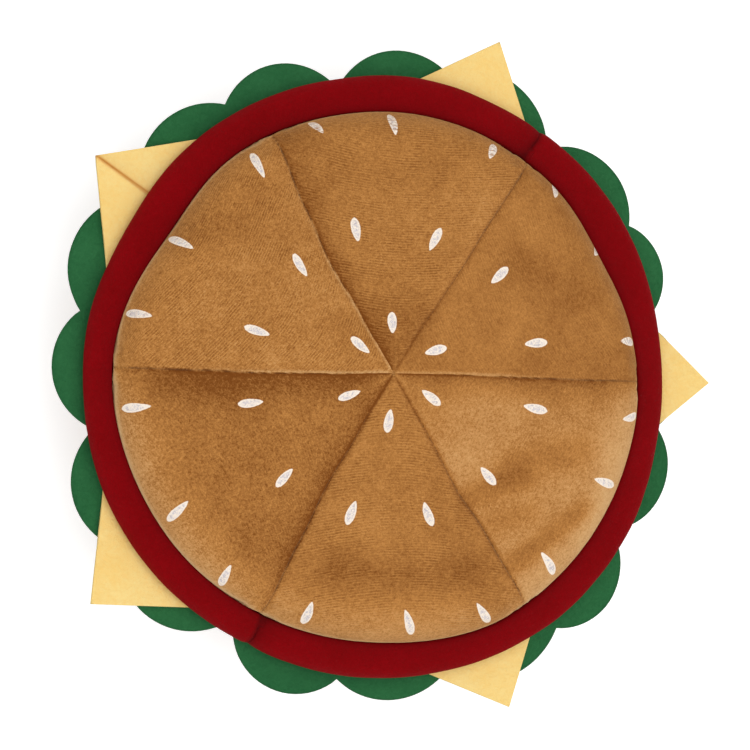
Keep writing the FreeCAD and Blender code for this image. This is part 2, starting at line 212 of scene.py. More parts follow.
class Finish(Nodes):
    """The nodes of one cloth's finish, and the surface that they feed."""

    def __init__(self, name):
        self.material = bpy.data.materials.new(name)
        self.material.use_nodes = True
        super().__init__(self.material.node_tree)
        self.tree.nodes.clear()
        self.surface = self.tree.nodes.new("ShaderNodeBsdfPrincipled")
        out = self.tree.nodes.new("ShaderNodeOutputMaterial")
        self.tree.links.new(self.surface.outputs[0], out.inputs[0])
        self.place = self.node("ShaderNodeTexCoord", output="Object")

    def feed_surface(self, inputs):
        for key, value in inputs.items():
            self.feed(self.surface.inputs[key], value)

    def painted(self, name):
        """A value that the mesh itself carries at each of its points."""
        return self.node("ShaderNodeAttribute", {"attribute_name": name}, output="Fac")

    def grain(self, scale, detail=3, rough=0.6, where=None, twist=0.0):
        """Soft random lumps, scale of them to a metre."""
        inputs = {"Vector": where or self.place, "Scale": scale, "Detail": detail, "Roughness": rough}
        return self.node("ShaderNodeTexNoise", None, {**inputs, "Distortion": twist})

    def dress(self, colour, roughness, height, depth, sheen, tint=(1, 1, 1, 1), sheen_rough=0.5):
        """Feeds the surface with its colour, its roughness and a relief as deep as depth, in metres."""
        bump = self.node("ShaderNodeBump", None, {"Height": height, "Strength": 1.0, "Distance": depth})
        self.feed_surface({"Base Color": colour, "Roughness": roughness, "Normal": bump})
        self.feed_surface({"Sheen Weight": sheen, "Sheen Roughness": sheen_rough, "Sheen Tint": tint})
        self.feed_surface({"Specular IOR Level": CLOTH_SHINE})
        return self.material


def dye(red, green, blue):
    """A dye as it looks, from 0 to 255, as the linear colour that the surface takes."""
    parts = [c / 255 for c in (red, green, blue)]
    return (*[c / 12.92 if c <= 0.04045 else ((c + 0.055) / 1.055) ** 2.4 for c in parts], 1.0)


def felt(name, dark, light, deep=None, sheen=0.15):
    """Pressed felt: matted fibres that lie every way, in thick and thin patches, painted darker where the
    mesh carries painted shade.
    """
    finish = Finish(name)
    fibres = finish.grain(1400, detail=4, rough=0.7, twist=1.5)
    tufts = finish.grain(420, twist=0.8)
    patches = finish.grain(38, rough=0.55)
    share = (fibres * 0.45 + tufts * 0.35 + patches * 0.35 - 0.1).within(0.15, 0.95)
    # Mixes towards the shade colour where the mesh carries painted shade
    cloth = finish.mix(finish.painted("painted_shade"), finish.mix(share, dark, light), deep or dark)
    height = fibres * 0.6 + tufts
    return finish.dress(cloth, 0.86 + fibres * 0.12, height, depth=0.0006, sheen=sheen, tint=light)


def velour(name, seeds=(), ribs=1.0, wear=0.0, coarse=1.2):
    """Short-pile velour with fine broken ribs across each panel, and worn white seed prints."""
    finish = Finish(name)
    across, along = cloth_places(finish)
    # The mesh's painted light: painted shade at seams and in dents, painted highlights on seam lips and
    # painted sheen at the rim, over the pile's brushed tone
    nap_and_light = finish.painted("nap_and_painted_light")
    patches = finish.grain(16, detail=4)
    brushed = finish.grain(60, detail=4, rough=0.65, twist=0.6)
    flecks = finish.grain(700, rough=0.8)
    pile = finish.grain(1700, rough=0.75)
    wobble = finish.grain(70, detail=2, rough=0.5)
    rib = (along * (2 * math.pi / RIB_PITCH) + wobble * RIB_WOBBLE).sine() * 0.5 + 0.5
    spot = finish.node("ShaderNodeCombineXYZ", None, {0: across / DASH_LENGTH, 1: along / DASH_WIDTH})
    dashes = finish.grain(1.0, where=spot)
    worn = finish.grain(90).within(0.35, 0.65)
    specks = (flecks - 0.5) * (0.95 * coarse) + (pile - 0.5) * (0.75 * coarse)
    mottle = (patches - 0.5) * 0.5 + (brushed - 0.5) * 0.45 + specks
    ribbed = (dashes - 0.5) * (0.6 * ribs) + (rib * rib - 0.4) * worn * (0.3 * ribs)
    # Painted light darkens or pales the brown here
    share = 0.5 + mottle + ribbed + nap_and_light * 0.4
    cloth = finish.mix(share.within(-0.1, 1.0), dye(120, 66, 20), dye(200, 139, 73))
    # The pale tan is painted sheen and painted highlight, laid where the painted light is high
    cloth = finish.mix((nap_and_light + mottle * 0.9).within(0.15, 1.35), cloth, dye(222, 182, 130))
    if seeds:
        rubbed = dashes.within(0.5, 0.58) * along.within(96, 108) * wear
        cloth = seed_prints(finish, cloth, across, along, seeds, rubbed)
    height = ribbed + flecks * 0.8 + pile * 0.6 + brushed
    shimmer = {"sheen": 0.3, "tint": dye(236, 200, 150), "sheen_rough": 0.4}
    return finish.dress(cloth, 0.78 + pile * 0.2, height, depth=0.0005, **shimmer)


def cloth_places(finish):
    """Places on a panel as it was cut, in millimetres across its middle line and along it from the tip."""
    flat = finish.node("ShaderNodeUVMap", {"uv_map": "cloth"})
    return [part * CLOTH_MAP_UNIT for part in finish.split(flat, 2)]


def seed_prints(finish, cloth, across, along, seeds, rubbed):
    """White seed prints, pointed towards the panel's tip, greyer in the middle and rubbed off in specks."""
    ragged = (finish.grain(900, rough=0.7) - 0.5) * 0.3
    prints = None
    for place_across, place_along, lean, long in seeds:
        cos, sin = math.cos(math.radians(lean)), math.sin(math.radians(lean))
        side = across - place_across
        out = along - place_along
        length = (out * cos + side * sin) / (long * SEED_REACH)
        width = (side * cos - out * sin).math("ABSOLUTE") / SEED_HALF_WIDTH
        inside = 1.0 - length * length - (width / (1.0 + length * SEED_TAPER)) ** 1.7 + ragged
        prints = inside if prints is None else prints.highest(inside)
    specks = finish.grain(640, detail=4, rough=0.75, twist=1.0)
    grey = prints.within(0.25, 0.7) * specks.within(0.42, 0.6)
    ink = finish.mix(grey, dye(252, 238, 222), dye(208, 200, 204))
    cover = prints.within(0.02, 0.16) * (1.0 - specks.within(0.6, 0.72) * 0.5 - rubbed)
    return finish.mix(cover, cloth, ink)


def fibre_fill(name):
    """Loose polyester fibre in tufts and strands."""
    finish = Finish(name)
    tufts = finish.grain(240, detail=5, rough=0.7, twist=2.0)
    strands = finish.grain(1100, detail=4, rough=0.7, twist=3.0)
    share = (tufts * 0.6 + strands * 0.5).within(0.2, 0.85)
    cloth = finish.mix(share, dye(205, 202, 195), dye(240, 239, 235))
    return finish.dress(cloth, 0.9 + strands * 0.1, tufts + strands * 0.6, depth=0.0012, sheen=0.3)


def woven(name, dark, light, pitch):
    """Plain weave, or a ribbed tape where the pitch differs between round the head and up it."""
    finish = Finish(name)
    parts = finish.split(finish.place, 3)
    turn = parts[1].math("ARCTAN2", parts[0])
    warp = (turn * (HEAD_RADIUS * 2 * math.pi / pitch[0])).sine() * 0.5 + 0.5
    weft = (parts[2] * (2 * math.pi / pitch[1] / MM)).sine() * 0.5 + 0.5
    slub = finish.grain(160)
    height = warp * 0.5 + weft * 0.5 + slub * 0.5
    cloth = finish.mix((height * 0.7).within(0.1, 0.9), dark, light)
    return finish.dress(cloth, 0.8 + slub * 0.15, height, depth=0.0004, sheen=0.1)


# Mesh making

# How the velour and felt behave as they settle
CLOTH_HANDLE = {
    "quality": 6,
    "mass": 0.15,
    "tension_stiffness": 8.0,
    "compression_stiffness": 8.0,
    "shear_stiffness": 4.8,
    "bending_stiffness": 2.0,
    "tension_damping": 10,
    "compression_damping": 10,
    "shear_damping": 10,
    "bending_damping": 1.0,
    "air_damping": 3.0,
    "use_pressure": True,
    "vertex_group_mass": "sewn",
}


def line_start(bm, across, up):
    """The first point of a profile, at a place across from the hat's axis and up from the ground."""
    return bm.verts.new((across * MM, 0, up * MM))


def carry_arc(bm, vert, centre, degrees, steps):
    """Carries a profile on from vert along an arc about centre, upwards from +X where positive."""
    middle = (centre[0] * MM, 0, centre[1] * MM)
    turned = bmesh.ops.spin(
        bm, geom=[vert], cent=middle, axis=(0, -1, 0), angle=math.radians(degrees), steps=steps
    )
    return next(v for v in turned["geom_last"] if isinstance(v, bmesh.types.BMVert))


def carry_line(bm, vert, across, up, steps=1):
    """Carries a profile on from vert along a straight line."""
    first = vert.co.copy()
    last = Vector((across * MM, 0, up * MM))
    for step in range(1, steps + 1):
        vert = bmesh.ops.extrude_vert_indiv(bm, verts=[vert])["verts"][0]
        vert.co = first.lerp(last, step / steps)
    return vert


def merge(bm):
    """Joins points that lie on each other, such as the end of a closed profile and its start."""
    bmesh.ops.remove_doubles(bm, verts=bm.verts, dist=SAME_PLACE)


def lathe(bm, steps):
    """Turns the profile full circle about the hat's upright axis, with its faces all one way."""
    geom = bm.verts[:] + bm.edges[:]
    bmesh.ops.spin(bm, geom=geom, cent=(0, 0, 0), axis=UP, angle=2 * math.pi, steps=steps, use_merge=True)
    merge(bm)
    bmesh.ops.recalc_face_normals(bm, faces=bm.faces)
    fix_order(bm)


def fix_order(bm):
    """Sorts edges and faces, whose order a spin leaves to chance, so that cloth always settles alike."""
    bm.verts.index_update()
    for things in (bm.edges, bm.faces):
        in_order = sorted(things, key=lambda thing: sorted(v.index for v in thing.verts))
        for number, thing in enumerate(in_order):
            thing.index = number
        things.sort()


def face_away(bm, up, ring=0.0):
    """Turns all faces round if most of them look towards a ring about the hat's axis, or a point on it."""
    bm.normal_update()
    away = 0.0
    for face in bm.faces:
        spot = face.calc_center_median()
        middle = Vector((spot.x, spot.y, 0)).normalized() * (ring * MM) + UP * (up * MM)
        away += (spot - middle).dot(face.normal) * face.calc_area()
    if away < 0:
        bmesh.ops.reverse_faces(bm, faces=bm.faces)


def keep_faces(bm, wanted):
    """Cuts away the faces that aren't wanted."""
    bmesh.ops.delete(bm, geom=[f for f in bm.faces if not wanted(f)], context="FACES")


def put_in_scene(name, data):
    """An object in the scene, from a mesh, a lamp or a camera."""
    thing = bpy.data.objects.new(name, data)
    bpy.context.scene.collection.objects.link(thing)
    return thing


def make_mesh(name, bm, finish):
    """The drawn shape as a mesh with its finish."""
    mesh = bpy.data.meshes.new(name)
    bm.to_mesh(mesh)
    bm.free()
    mesh.materials.append(finish)
    return mesh


def make_piece(name, bm, finish, body="hat", node=None):
    """A piece of the hat, which moves with its body and stands for its node of the solid model."""
    mesh = make_mesh(name, bm, finish)
    mesh.polygons.foreach_set("use_smooth", [True] * len(mesh.polygons))
    piece = put_in_scene(name, mesh)
    if body:
        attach(piece, body)
    if node:
        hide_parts(node)
    return piece


def make_draft(name, bm):
    """A whole cloth, from which pieces are cut later."""
    return make_piece(f"{name}_cloth", bm, bpy.data.materials.new(f"{name}_draft"), body=None)


def thicken(piece, thickness, even=True):
    """Gives a skin its thickness, inwards."""
    wall = piece.modifiers.new("thickness", "SOLIDIFY")
    wall.thickness = thickness * MM
    wall.offset = -1.0
    wall.use_even_offset = even


def soften(piece):
    """Rounds a skin off once, and keeps its corners."""
    smooth = piece.modifiers.new("soft", "SUBSURF")
    smooth.levels = 1
    smooth.render_levels = 1
    smooth.boundary_smooth = "PRESERVE_CORNERS"


def paint(mesh, name, values):
    """Lays a value on each point of a mesh, for its finish."""
    layer = mesh.attributes.new(name, "FLOAT", "POINT")
    layer.data.foreach_set("value", values)


def move_points(mesh, places):
    """Moves each point of a mesh to its new place."""
    for vertex, place in zip(mesh.vertices, places):
        vertex.co = place


def turn_of(place):
    """The turn of a place about the hat's axis, in degrees from +X."""
    return math.degrees(math.atan2(place.y, place.x)) % 360.0


def turn_between(first, last):
    """The shorter way round from one turn to another, in degrees, below 0 where it goes clockwise."""
    return (last - first + 180.0) % 360.0 - 180.0


def reach_of(place):
    """How far a place is from the hat's axis, in millimetres."""
    return math.hypot(place.x, place.y) / MM


def out_at(turn):
    """The way straight out from the hat's axis at a turn in radians."""
    return Vector((math.cos(turn), math.sin(turn), 0))


def ripple(place, size, seed=0.0):
    """A smooth unevenness from -1 to 1, with lumps about size millimetres across."""
    spot = Vector(place) / (size * MM) + Vector((seed, seed * 1.7, -seed))
    return noise.noise(spot)


def clamped(share):
    return min(max(share, 0.0), 1.0)


def ease(low, high, value):
    """0 below low, 1 above high, and a smooth step between."""
    share = clamped((value - low) / (high - low))
    return share * share * (3 - 2 * share)


def bell(off, width):
    """1 in the middle of a soft bump, falling to either side of it."""
    return math.exp(-((off / width) ** 2))


def swell(turn, shape):
    """How far an outline stands proud at a turn: the sum of its soft bumps."""
    return sum(high * bell(turn_between(at, turn), wide) for at, wide, high in shape)


def dome_arcs(radius, shoulder, wall, rise):
    """Middles of the shoulder and top arcs of a dome on a wall, and the turn at which they meet."""
    reach = radius - shoulder
    top = (reach**2 + rise**2 - shoulder**2) / (2 * (rise - shoulder))
    top_middle = (0.0, wall + rise - top)
    meeting = math.degrees(math.atan2(wall - top_middle[1], reach))
    return (reach, wall), top_middle, meeting


def settle_cloth(piece, pins, pressure, frames, cap, shrink):
    """Lets the cloth swell and wrinkle between its sewn lines, and keeps the settled shape in the mesh."""
    group = piece.vertex_groups.new(name="sewn")
    for index, weight in pins.items():
        group.add([index], weight, "REPLACE")
    scene = bpy.context.scene
    start = [v.co.copy() for v in piece.data.vertices]
    cloth = piece.modifiers.new("cloth", "CLOTH")
    settings = cloth.settings
    for key, value in CLOTH_HANDLE.items():
        setattr(settings, key, value)
    settings.uniform_pressure_force = pressure
    settings.shrink_min = shrink
    settings.effector_weights.gravity = 0.0
    cloth.collision_settings.use_collision = False
    cloth.collision_settings.use_self_collision = False
    cloth.point_cache.frame_start = 1
    cloth.point_cache.frame_end = frames
    for step in range(1, frames + 1):
        scene.frame_set(step)
    settled = piece.evaluated_get(bpy.context.evaluated_depsgraph_get()).data
    limit = cap * MM
    for vertex, before, after in zip(piece.data.vertices, start, settled.vertices):
        move = after.co - before
        far = move.length
        if far > 0:
            vertex.co = before + move * (limit * math.tanh(far / limit) / far)
    piece.modifiers.remove(cloth)
    piece.vertex_groups.remove(group)
    scene.frame_set(1)


# Crown

PANEL_STEPS = 32
SHOULDER_STEPS = 14
TOP_STEPS = 42
GATHER = 1.5
LOW_SLOPE = 7.0
HIGH_EDGE = 1.7
PUCKER = 0.12
PUCKER_SIZE = 8.0
SAG = 0.5
SAG_SIZE = 40.0
SLOPE_SHADE = 0.9
SLOPE_WIDTH = 8.0
LIP_OFFSET = 0.5
DENT_SHADE = 0.36

# Each seam's low side, if it has one, how pale its lip is painted as a highlight, and how dark its line is
# painted as shade
LOW_SIDES = (5, None, 1, 3, 3, None)
LIP_HIGHLIGHTS = (0.55, 0.0, 0.45, 0.6, 0.0, 0.0)
SEAM_SHADES = (0.6, 0.35, 0.4, 0.6, 0.7, 0.5)

# How pale each panel's pile is brushed at its tip and in its middle, how pale its rim is painted as sheen,
# with more painted sheen low on the rim, and how its cloth looks
TIP_TONES = (-0.05, -0.25, 0.15, -0.2, 0.08, 0.22)
PANEL_TONES = (0.04, 0.15, 0.2, -0.16, 0.12, 0.46)
RIM_SHEEN_TONES = (-0.2, -0.05, 0.1, 0.5, 0.4, 0.75)
RIM_PAINTED_SHEEN = 0.8
PANEL_RIBS = (0.4, 1.0, 1.0, 0.35, 1.0, 0.35)
PANEL_SPECKS = (0.95, 1.15, 1.35, 1.5, 1.1, 1.15)
SEED_WEAR = (0.5, 0.8, 0.25, 0.0, 0.0, 0.0)

# Hollows and wrinkles of handling: the two ends of each, its width and its depth
DENTS = (
    ((-24, -92), (38, -94), 11.0, 1.6),
    ((61, -88), (94, -64), 4.5, 1.6),
    ((41, -57), (64, -48), 5.0, 1.6),
    ((60, -44), (92, -36), 9.0, 0.9),
    ((50, -70), (68, -64), 6.0, 0.7),
    ((-108, -6), (-20, -7), 8.0, 0.8),
    ((92, 34), (60, 52), 12.0, 0.9),
    ((-96, 66), (-60, 84), 12.0, 0.8),
    ((-20, 96), (30, 98), 10.0, 0.7),
)

# Seed prints of each panel: across and along the cloth from the tip, lean in degrees, and length
SEEDS = (
    ((0, 23.3, -12, 10.6), (-18, 69.5, -20, 11.2), (17.2, 68.4, 12, 11.6),
     (-39, 116, -24, 14), (41, 120, 30, 13), (6, 131, 8, 13)),
    ((1.5, 23.8, 6, 9.8), (20.1, 66.2, 16, 11.2), (-16.9, 64.4, -23, 11.6),
     (44.7, 116.7, 34, 13.5), (7.3, 122.7, 9, 14.2), (-43.8, 111, -22, 12.5)),
    ((-3.5, 20.6, -10, 11.2), (-21.7, 62.7, -23, 11.6), (16.9, 65.3, 17, 12),
     (-49.5, 104.7, -29, 16.8), (2.3, 124.9, 3, 18.6), (42.3, 115.8, 23, 18)),
    ((-1.9, 23.6, -12, 11.2), (-22.7, 63.4, -23, 11), (16.9, 67.9, 14, 10.6),
     (-47.1, 108.7, -24, 17), (3.9, 120.6, 15, 15), (42.8, 115, 33, 17)),
    ((-2.2, 22.4, -9, 10.8), (-18.9, 63.7, -24, 11), (16.1, 65.1, 14, 11.2),
     (-41.2, 109.9, -20, 15), (5.2, 118.3, 16, 14.2), (40.7, 112.5, 32, 15.4)),
    ((-0.7, 21.7, -8, 10.8), (20.6, 68, 15, 11.8), (-17.1, 64.1, -19, 11),
     (42, 115, 33, 15), (8, 118.8, 12, 13), (-38.2, 110, -23, 14.8)),
)


def crown_arcs(radius=CROWN_RADIUS, shoulder=SHOULDER):
    """The arcs of the crown's profile, down the middle of a panel or with a seam's sizes."""
    return dome_arcs(radius, shoulder, CROWN_WIDEST, CROWN_RISE)


def rim_turn(shoulder):
    """The turn about the shoulder's middle at which the crown ends."""
    return math.degrees(math.asin((CROWN_BOTTOM - CROWN_WIDEST) / shoulder))


def seam_place(across, up):
    """Where a place on the middle line of a panel would lie on a seam, whose shoulder is tighter."""
    shoulder_middle, top_middle, meeting = crown_arcs()
    seam_shoulder, seam_top, seam_meeting = crown_arcs(SEAM_RADIUS, SEAM_SHOULDER)
    turn = math.degrees(math.atan2(up - top_middle[1], across))
    if turn >= meeting:
        turn = math.radians(90.0 - (90.0 - turn) * (90.0 - seam_meeting) / (90.0 - meeting))
        centre, radius = seam_top, CROWN_WIDEST + CROWN_RISE - seam_top[1]
    else:
        turn = math.degrees(math.atan2(up - shoulder_middle[1], across - shoulder_middle[0]))
        share = (turn - rim_turn(SHOULDER)) / (meeting - rim_turn(SHOULDER))
        first = rim_turn(SEAM_SHOULDER)
        turn = math.radians(first + share * (seam_meeting - first))
        centre, radius = seam_shoulder, SEAM_SHOULDER
    return centre[0] + radius * math.cos(turn), centre[1] + radius * math.sin(turn)


def draw_crown(bm):
    """The crown's profile from rim to tip, turned full circle, with its lines gathered at the seams."""
    shoulder_middle, top_middle, meeting = crown_arcs()
    rim = rim_turn(SHOULDER)
    start = line_start(bm, shoulder_middle[0] + SHOULDER * math.cos(math.radians(rim)), CROWN_BOTTOM)
    bend = carry_arc(bm, start, shoulder_middle, meeting - rim, SHOULDER_STEPS)
    carry_arc(bm, bend, top_middle, 90.0 - meeting, TOP_STEPS)
    lathe(bm, PANELS * PANEL_STEPS)
    face_away(bm, LINING_WALL)
    panel_of = bm.faces.layers.int.new("panel")
    for face in bm.faces:
        face[panel_of] = int(turn_of(face.calc_center_median()) * PANELS / 360.0)
    for vertex in bm.verts:
        across = math.hypot(vertex.co.x, vertex.co.y)
        turn = math.radians(sewn_turn(turn_of(vertex.co)))
        vertex.co = (across * math.cos(turn), across * math.sin(turn), vertex.co.z)


def draw_in_seams(bm):
    """Lowers the even crown towards its seams, so that each panel swells between them."""
    for vertex in bm.verts:
        across = math.hypot(vertex.co.x, vertex.co.y)
        if across < SAME_PLACE:
            continue
        low = (1.0 - seam_distance(vertex.co)[3]) ** 2
        seam_across, seam_up = seam_place(across / MM, vertex.co.z / MM)
        scale = 1.0 + (seam_across * MM / across - 1.0) * low
        up = vertex.co.z + (seam_up * MM - vertex.co.z) * low
        vertex.co = (vertex.co.x * scale, vertex.co.y * scale, up)


def sewn_turn(even):
    """The turn of a place on the sewn crown, whose panels differ in width, from its turn on an even one."""
    panel, step = divmod(round(even / 360.0 * PANELS * PANEL_STEPS), PANEL_STEPS)
    side = 2.0 * step / PANEL_STEPS - 1.0
    gathered = math.copysign(1.0 - (1.0 - abs(side)) ** GATHER, side)
    first, width = panel_span(panel % PANELS)
    return first + width * (gathered + 1.0) / 2.0


def panel_span(panel):
    """The turn of a panel's first seam, and the panel's width."""
    first = SEAM_TURNS[panel]
    return first, (SEAM_TURNS[(panel + 1) % PANELS] - first) % 360.0


def seam_distance(place):
    """The panel that a place is on, the nearest seam, and its distance in millimetres and in half panels."""
    turn = turn_of(place)
    for panel in range(PANELS):
        first, width = panel_span(panel)
        into = (turn - first) % 360.0
        if into < width:
            seam = panel if into < width / 2 else (panel + 1) % PANELS
            off = min(into, width - into)
            return panel, seam, reach_of(place) * math.sin(math.radians(off)), off / (width / 2)


def seam_dip(panel, seam, gap):
    """How far the cloth goes down to a seam: its low side slopes to it, its high side drops over an edge."""
    return math.exp(-gap / LOW_SLOPE) if LOW_SIDES[seam] == panel else bell(gap, HIGH_EDGE)


def dent(place):
    """How far the soft crown has sunk at a place, under the hollows and wrinkles of handling."""
    depth = 0.0
    spot = Vector((place.x, place.y)) / MM
    for first, last, width, deep in DENTS:
        run = Vector(last) - Vector(first)
        share = clamped((spot - Vector(first)).dot(run) / run.length_squared)
        depth += deep * bell((spot - Vector(first) - run * share).length, width)
    return depth


def settle_crown(place, outward):
    """A place on the swollen crown, sunk at the seams and dents, slid over and drawn out to the rim."""
    panel, seam, gap, share = seam_distance(place)
    across = reach_of(place)
    dip = seam_dip(panel, seam, gap) * ease(0, 8, across) * (1.0 - 0.75 * ease(85, 120, across))
    pucker = PUCKER * ripple(place, PUCKER_SIZE, 3.0) * math.exp(-gap / PUCKER_SIZE) * ease(10, 40, across)
    sag = SAG * ripple(place, SAG_SIZE, 8.0) * share
    sunk = place + outward * ((pucker + sag - dip - dent(place)) * MM)
    stretch = 1.0 + swell(turn_of(place), RIM_SHAPE) / CROWN_RADIUS * min(across / CROWN_RADIUS, 1.0) ** 3
    bent = bend_aside(Vector((sunk.x * stretch, sunk.y * stretch, sunk.z)), panel, across)
    return bent + (CROWN_SLIDE + TIP_SLIDE * (1.0 - ease(20, 110, across))) * MM


def seam_bend(seam, across):
    """How far a seam runs beside its straight line, at a distance from the crown's middle."""
    bends = (0.0, *SEAM_BENDS[seam], SEAM_BENDS[seam][-1])
    step = min(across / BEND_STEP, len(bends) - 1.001)
    before = int(step)
    return bends[before] + (bends[before + 1] - bends[before]) * ease(0.0, 1.0, step - before)


def bend_aside(place, panel, across):
    """A place on the crown, moved round with the seams on both sides of it."""
    if across < 0.01:
        return place
    first, width = panel_span(panel)
    share = clamped(turn_between(first, turn_of(place)) / width)
    before, after = (seam_bend(seam % PANELS, across) for seam in (panel, panel + 1))
    turn = (before + (after - before) * share) / across
    cos, sin = math.cos(turn), math.sin(turn)
    return Vector((place.x * cos - place.y * sin, place.x * sin + place.y * cos, place.z))


def seam_painted_light(panel, seam, gap, share, across):
    """Painted light beside a seam: painted shade in it and down its low side, a painted highlight on the lip
    of its high side.
    """
    outer = ease(15, 50, across)
    shade = SEAM_SHADES[seam] * bell(gap, 0.6 + 0.4 * outer) * (1.8 - 0.8 * outer)
    if LOW_SIDES[seam] == panel:
        edge = -SLOPE_SHADE * math.exp(-gap / SLOPE_WIDTH) * (1.0 - share) - shade
    elif LIP_HIGHLIGHTS[seam]:
        edge = LIP_HIGHLIGHTS[seam] * (1.0 - 0.8 * ease(55, 95, across)) * bell(gap - LIP_OFFSET, 1.0)
    else:
        edge = -shade
    return edge * ease(0, 3, across) * (1.0 - 0.4 * ease(90, 120, across))


def nap_with_painted_light(place):
    """How the pile is brushed, with painted light over it: below 0 darker, above 0 paler; painted sheen at
    the rim, painted shade in dents, and painted shade and highlights at seams.
    """
    panel, seam, gap, share = seam_distance(place)
    across = reach_of(place)
    tone = TIP_TONES[panel] + (PANEL_TONES[panel] - TIP_TONES[panel]) * ease(15, 50, across)
    # Painted sheen: the rim is painted paler, most on the lower panels and on the band just above the roll
    tone += (RIM_SHEEN_TONES[panel] - tone) * ease(100, 127, across)
    tone += RIM_PAINTED_SHEEN * (1.0 - ease(CROWN_WIDEST, CROWN_WIDEST + 6.0, place.z / MM))
    return seam_painted_light(panel, seam, gap, share, across) + tone - DENT_SHADE * dent(place)


def crown_pins(cloth):
    """How firmly each point of the crown is held: fully on seams and rim, and less out from the tip."""
    pins = {}
    for vertex in cloth.vertices:
        on_seam = seam_distance(vertex.co)[3] < 0.002
        on_rim = vertex.co.z / MM < CROWN_BOTTOM + 0.1
        hold = 1.0 if on_seam or on_rim else 1.0 - ease(8, 26, reach_of(vertex.co))
        if hold > 0:
            pins[vertex.index] = hold
    return pins


def make_crown():
    """The crown as one cloth, swollen and settled, then cut into its panels."""
    bm = bmesh.new()
    draw_crown(bm)
    lay_cloth_map(bm)
    draw_in_seams(bm)
    whole = make_draft("crown", bm)
    cloth = whole.data
    # Lays painted shade, painted highlights and painted sheen on the crown, with the pile's brushed tone
    paint(cloth, "nap_and_painted_light", [nap_with_painted_light(v.co) for v in cloth.vertices])
    settle_cloth(whole, crown_pins(cloth), pressure=40.0, frames=16, cap=1.4, shrink=-0.003)
    move_points(cloth, [settle_crown(v.co, v.normal) for v in cloth.vertices])
    for number in range(PANELS):
        make_crown_panel(whole, number)
    bpy.data.objects.remove(whole)


def cloth_reach(across, up):
    """How far a place on the even crown is from its tip, along the cloth."""
    shoulder_middle, top_middle, meeting = crown_arcs()
    top = CROWN_WIDEST + CROWN_RISE - top_middle[1]
    turn = math.degrees(math.atan2(up - top_middle[1], across))
    if turn >= meeting:
        return top * math.radians(90.0 - turn)
    turn = math.degrees(math.atan2(up - shoulder_middle[1], across - shoulder_middle[0]))
    return top * math.radians(90.0 - meeting) + SHOULDER * math.radians(meeting - turn)


def lay_cloth_map(bm):
    """The panels as they were cut: across the middle line, and along it from the tip."""
    panel_of = bm.faces.layers.int["panel"]
    layer = bm.loops.layers.uv.new("cloth")
    for face in bm.faces:
        first, width = panel_span(face[panel_of])
        for loop in face.loops:
            place = loop.vert.co
            across = reach_of(place)
            reach = cloth_reach(across, place.z / MM) / CLOTH_MAP_UNIT
            off = math.radians(turn_between(first + width / 2, turn_of(place))) if across > 0.01 else 0.0
            loop[layer].uv = (reach * math.sin(off), reach * math.cos(off))


def make_crown_panel(whole, number):
    """One velour panel, cut out of the whole crown."""
    bm = bmesh.new()
    bm.from_mesh(whole.data)
    panel_of = bm.faces.layers.int["panel"]
    keep_faces(bm, lambda face: face[panel_of] == number)
    name = f"crown_panel_{number + 1}"
    looks = (SEEDS[number], PANEL_RIBS[number], SEED_WEAR[number], PANEL_SPECKS[number])
    finish = velour(f"bun_velour_{number + 1}", *looks)
    panel = make_piece(f"velour_{name}", bm, finish, node=name)
    thicken(panel, CLOTH, even=False)


# Rolls

ROLL_STEPS = 18
ROLL_TURNS = 360
FILL_TURNS = 120
JOIN_SLOPE = 4.0
JOIN_EDGE = 1.2
PINCH = 1.1
PINCH_SHADE = 0.55
TOP_LIFT = 5.6
TOP_TUCK = 0.8
TOP_ROUND = 14
LEANS_FROM = 110.0
COVER_GAP = 0.3
FILL_GAP = 0.6
FIBRE_SINK = 1.1
FIBRE_LUMPS = 0.5


def roll_arc(lower, upper, bulge):
    """Middle, radius and first and last turn of the arc that bulges between two seams."""
    run, rise = upper[0] - lower[0], upper[1] - lower[1]
    length = math.hypot(run, rise)
    radius = (length**2 / 4 + bulge**2) / (2 * bulge)
    back = radius - bulge
    middle = (
        (lower[0] + upper[0]) / 2 - back * rise / length,
        (lower[1] + upper[1]) / 2 + back * run / length,
    )
    first, last = (math.degrees(math.atan2(p[1] - middle[1], p[0] - middle[0])) for p in (lower, upper))
    return middle, radius, first, last % 360.0 if last < first else last


def draw_roll(bm, roll, flange):
    """A roll's profile from its lower seam over its bulge to its upper one, and a seam allowance inside."""
    middle, _, first, last = roll_arc(*roll)
    seam = carry_arc(bm, line_start(bm, *roll[0]), middle, last - first, ROLL_STEPS)
    if flange:
        carry_line(bm, seam, roll[1][0] - flange, roll[1][1], steps=2)
    lathe(bm, ROLL_TURNS)
    face_away(bm, middle[1], ring=middle[0])


def roll_share(place, roll):
    """How far round a roll's section a place is: 0 at its lower seam, 1 at its upper one and inside it."""
    middle, _, first, last = roll_arc(*roll)
    turn = math.degrees(math.atan2(place.z / MM - middle[1], reach_of(place) - middle[0]))
    return clamped(((turn - first + 20.0) % 360.0 - 20.0) / (last - first))


def lean_roll(place, roll, shape):
    """Where a place on an even roll goes as it leans out, with its upper seam under the crown's rim."""
    share = roll_share(place, roll)
    turn = turn_of(place)
    out = Vector((place.x, place.y, 0)).normalized()
    lean = swell(turn, shape)
    move = out * lean * (math.sin(math.pi * share) ** 1.5 if lean > 0 else 1.0 - ease(0.5, 1.0, share))
    if shape:
        rim = out * swell(turn, RIM_SHAPE) + CROWN_SLIDE
        top = math.sin(math.pi * share**TOP_ROUND)
        move += rim * ease(0.5, 1.0, share) + UP * (TOP_LIFT * math.sqrt(top)) - out * (TOP_TUCK * top)
    return place + move * MM


